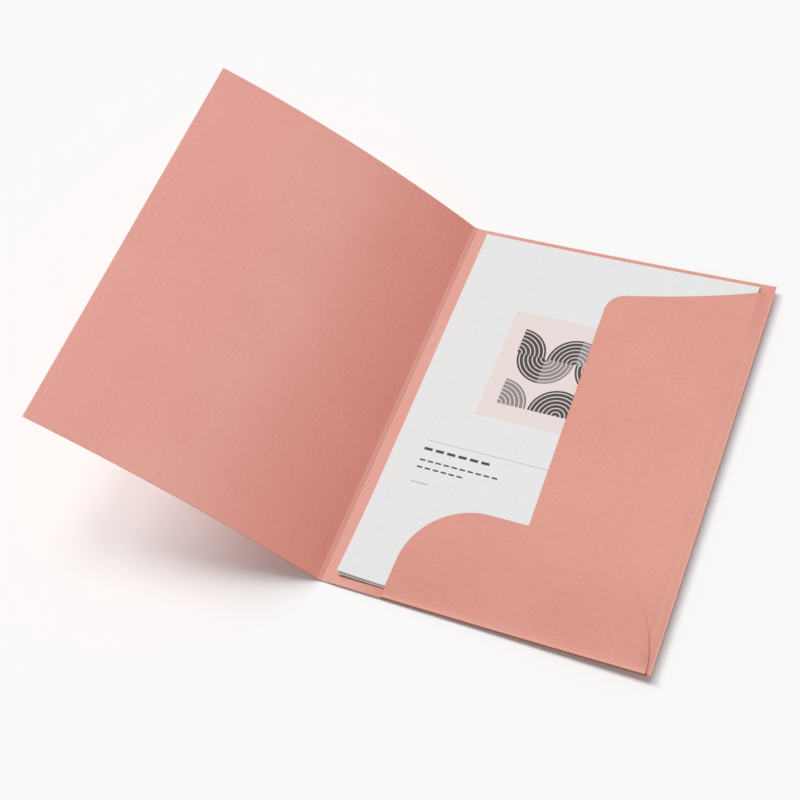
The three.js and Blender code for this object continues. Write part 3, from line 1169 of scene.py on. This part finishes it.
spine_card = crease_strip("spine_card", spine_start, spine_end, spine_paper)
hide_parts("spine")
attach(spine_card, "spine")

front_crease_strip = crease_strip("front_crease_strip", spine_end, crease_path.length, creased_card)
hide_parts("front_crease")
path_point(crease_path, spine_end, (-1, 0, 0))
path_point(crease_path, crease_path.length, (-1, 0, 0))
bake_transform(front_crease_strip)

# %% [markdown]
# ## Rules as Geometry Nodes
#
# The bent cover and the stack of sheets are plain rules with a few numbers. Such a rule suits
# Geometry Nodes, because changing one input changes the shape. NodeRule makes a tree with named
# inputs, runs it on a flat object, and keeps the result as a plain mesh.

# %% Geometry Nodes helper
class NodeRule(Nodes):
    """A Geometry Nodes tree. Its inputs are given as names under their kind of socket."""

    def __init__(self, name, inputs):
        super().__init__(bpy.data.node_groups.new(name, "GeometryNodeTree"))
        self.sockets = {}
        new_socket = self.tree.interface.new_socket
        for kind, names in {"Geometry": ["Geometry"], **inputs, "Material": ["Finish"]}.items():
            for given in names:
                socket = new_socket(given, in_out="INPUT", socket_type="NodeSocket" + kind)
                self.sockets[given] = socket.identifier
        new_socket("Geometry", in_out="OUTPUT", socket_type="NodeSocketGeometry")
        self.source = self.add("NodeGroupInput")

    def given(self, *names):
        return [self.source[name] for name in names]

    def position(self):
        return self.split(self.add("GeometryNodeInputPosition"))

    def close(self, geometry):
        """Ends the tree as every tree here ends: real meshes with a finish."""
        real = self.add("GeometryNodeRealizeInstances", {"Geometry": geometry})
        dressed = self.add("GeometryNodeSetMaterial", {"Geometry": real, "Material": self.source["Finish"]})
        self.add("NodeGroupOutput", {"Geometry": dressed})
        return self

    def apply(self, flat, name, values):
        modifier = flat.modifiers.new(self.tree.name, "NODES")
        modifier.node_group = self.tree
        for socket, value in values.items():
            modifier[self.sockets[socket]] = value
        bpy.context.view_layer.update()
        evaluated = flat.evaluated_get(bpy.context.evaluated_depsgraph_get())
        mesh = bpy.data.meshes.new_from_object(evaluated)
        mesh.name = name
        flat.modifiers.remove(modifier)
        bpy.data.objects.remove(flat)
        print(f"{name}: {len(mesh.polygons)} faces from the rule {self.tree.name}")
        return show(name, mesh)


# %% [markdown]
# ## The front cover
#
# The front cover bends evenly over its whole width, so it is part of a cylinder. The tree takes
# each flat point's distance from the crease as a length of arc, and so the card keeps its width
# and its thickness when it is rolled.

# %% Front cover
def rolling_rule():
    rule = NodeRule("roll_card_into_an_arc", {"Float": ["Root X", "Root Z", "Root Angle", "Bend Radius"]})
    root_x, root_z, root, radius = rule.given("Root X", "Root Z", "Root Angle", "Bend Radius")
    place = rule.position()
    angle = root - place["X"] / radius
    sine, cosine = angle.maths("SINE"), angle.maths("COSINE")
    reach = root.maths("SINE") - sine
    climb = cosine - root.maths("COSINE")
    across = reach.maths("MULTIPLY_ADD", radius * -1.0, root_x) + sine * place["Z"]
    up = climb.maths("MULTIPLY_ADD", radius, root_z) + cosine * place["Z"]
    rolled = rule.join(across, place["Y"] * -1.0, up)
    return rule.close(rule.add("GeometryNodeSetPosition", {
        "Geometry": rule.source["Geometry"], "Position": rolled}))


def uncurled(distance, across, height):
    return np.stack([distance, across, height], axis=1)


def cover_crease(distance, across):
    """The paler mark of the front crease's bead, partly a painted highlight, runs out onto the first bit of
    the cover.
    """
    return np.exp(-((distance + CREASE_REACH) / BEAD_WIDTH) ** 2)


cover_width = cover_radius * COVER_BEND - CREASE_REACH
flat_cover = card_piece("flat_cover", rectangle_sides(0.0, cover_width, -HEAD, -FOOT), uncurled, CARD,
                        card_paper, seams=("left",), crease=cover_crease)
front_cover_card = rolling_rule().apply(flat_cover, "front_cover_card", {
    "Root X": -crease_path.along * MM, "Root Z": crease_path.up * MM, "Root Angle": root_angle,
    "Bend Radius": cover_radius * MM, "Finish": card_paper})
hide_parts("front_cover")
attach(front_cover_card, "front_cover")

# %% [markdown]
# ## The loose sheets
#
# Seven plain sheets lie under a printed one. Their tree works in three stages. A mesh line with a
# small step up gives one point for each sheet. Each copy on those points is shifted and turned a
# little, at random with a fixed seed. Then the copies become real meshes, and their free corner is
# lifted, the more the higher the sheet lies.

# %% Node tree that stacks sheets
def stacking_rule():
    rule = NodeRule("stack_of_sheets", {
        "Int": ["Count", "Seed"], "Vector": ["Corner"],
        "Float": ["Pitch", "Fan", "Shift", "Turn", "Base Level", "Corner Reach X", "Corner Reach Y",
                  "Corner Lift", "Corner Curl", "Least Share"]})
    flat_sheet, count, pitch, fan, seed = rule.given("Geometry", "Count", "Pitch", "Fan", "Seed")
    base, least, corner_lift, curl = rule.given("Base Level", "Least Share", "Corner Lift", "Corner Curl")
    shift, turn = rule.given("Shift", "Turn")

    def at_random(low, high, seed):
        inputs = {"Min": low, "Max": high, "Seed": seed}
        return rule.add("FunctionNodeRandomValue", inputs, out="Value", data_type="FLOAT_VECTOR")

    line = rule.add("GeometryNodeMeshLine", {"Count": count, "Offset": rule.join(y=fan / count, z=pitch)},
                    mode="OFFSET")
    copies = rule.add("GeometryNodeInstanceOnPoints", {"Points": line, "Instance": flat_sheet})
    moves = at_random(rule.join(shift * -1.0, shift * -1.0), rule.join(shift, shift), seed)
    moved = rule.add("GeometryNodeTranslateInstances", {"Instances": copies, "Translation": moves})
    turns = at_random(rule.join(z=turn * -1.0), rule.join(z=turn), seed + 1.0)
    turned = rule.add("GeometryNodeRotateInstances", {"Instances": moved, "Rotation": turns})
    real = rule.add("GeometryNodeRealizeInstances", {"Geometry": turned})

    place = rule.position()
    corner = rule.split(rule.source["Corner"])
    free = []
    for axis in ("X", "Y"):
        part = (place[axis] - corner[axis]) / rule.source["Corner Reach " + axis]
        free.append(rule.add("ShaderNodeClamp", {"Value": 1.0 - part}) ** curl)
    share = least + (1.0 - least) * ((place["Z"] - base) / (pitch * count))
    lift = rule.join(z=free[0] * free[1] * corner_lift * share)
    return rule.close(rule.add("GeometryNodeSetPosition", {"Geometry": real, "Offset": lift}))


sheet_rule = stacking_rule()
print("nodes in the stacking tree:", len(sheet_rule.tree.nodes))

# %% [markdown]
# The stack is fanned by almost two millimetres, the lowest sheet furthest towards the foot. Its
# sheets slide out together, so they are one mesh. The printed sheet has a body of its own.

# %% Sheets
SHEET_RIM = 0.03
SHEET_STEP = 4.0
PUSHED_IN = 0.3
STACK_RECESS = 0.7
SHEET_COUNT = 7
SHEET_FAN = 1.8
SHEET_SHIFT = 0.18
SHEET_TURN = math.radians(0.04)
STACK_SEED = 5


def flat_sheet(name, low, high, lift, finish):
    """A sheet that settles with the folder and stands up at its free corner."""
    def place(x, y, height):
        z = (low[2] + high[2]) / 2 + height + settle(x) + lift * corner_rise(x, y)
        return np.stack([x, y, z], axis=1)

    sides = rectangle_sides(low[0], high[0], low[1] - PUSHED_IN, high[1] - PUSHED_IN, SHEET_STEP)
    return card_piece(name, sides, place, PAPER, finish, round_by=SHEET_RIM)


sheet_pitch = box_in_mm("sheet_2")[0][2] - sheet_low[2]
lowest_shift = np.array([0.0, STACK_RECESS - SHEET_FAN, 0.0])
one_sheet = flat_sheet("one_sheet", sheet_low + lowest_shift, sheet_high + lowest_shift, 0.0, white_paper)
stacked_sheets = sheet_rule.apply(one_sheet, "stacked_sheets", {
    "Count": SHEET_COUNT, "Pitch": sheet_pitch * MM, "Fan": SHEET_FAN * MM, "Shift": SHEET_SHIFT * MM,
    "Turn": SHEET_TURN, "Corner Curl": CORNER_CURL, "Least Share": CORNER_LIFT_LEAST,
    "Seed": STACK_SEED, "Base Level": sheet_low[2] * MM, "Corner": Vector(sheet_low * MM),
    "Corner Reach X": CORNER_REACH_X * MM, "Corner Reach Y": CORNER_REACH_Y * MM,
    "Corner Lift": CORNER_LIFT_STACK * MM, "Finish": white_paper})
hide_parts(*[f"sheet_{number}" for number in range(1, SHEET_COUNT + 1)])
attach(stacked_sheets, "sheet_stack")

top_sheet_paper = flat_sheet("top_sheet_paper", top_low, top_high, CORNER_LIFT_TOP, printed_paper)
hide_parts("top_sheet")
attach(top_sheet_paper, "top_sheet")

# %% [markdown]
# ## The glue
#
# The bottom flap is glued down on the side flap. The glue is hidden between them, but the folder
# would fall open without it, so it is a piece of its own: a thin film with wavy sides.

# %% Glue film
GLUE_STOPS = 60
GLUE_STEP = 1.5
GLUE_RIM = 0.02
GLUE_WAVE = 0.8
GLUE_WAVE_LENGTH = 17.0
GLUE_WAVE_OFFSET = 5.0
glue_low, glue_high = box_in_mm("glue_strip")
glue_middle = (glue_low + glue_high) / 2
glue_half = (glue_high[1] - glue_low[1]) / 2 - GLUE_WAVE


def wavy(side):
    """One long side of the film: -1 for the side at the foot, 1 for the other."""
    def y_at(x):
        wave = math.sin((x + GLUE_WAVE_OFFSET * side) * 2 * math.pi / GLUE_WAVE_LENGTH)
        return glue_middle[1] + side * (glue_half + GLUE_WAVE * wave)

    return y_at


glue_sides = strip_sides(np.linspace(glue_low[0], glue_high[0], GLUE_STOPS), wavy(-1), wavy(1), GLUE_STEP)
glue_film = card_piece("glue_film", glue_sides, flat_card(glue_middle[2]), glue_high[2] - glue_low[2],
                       dry_glue, round_by=GLUE_RIM)
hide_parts("glue_strip")
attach(glue_film, "back_cover")

# %% [markdown]
# ## The dressed size
#
# The box of the dressed folder is printed, to set beside the frame's box printed at the start.

# %% Sizes and the end
look_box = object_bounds()
print_box("dressed box in mm:", look_box)
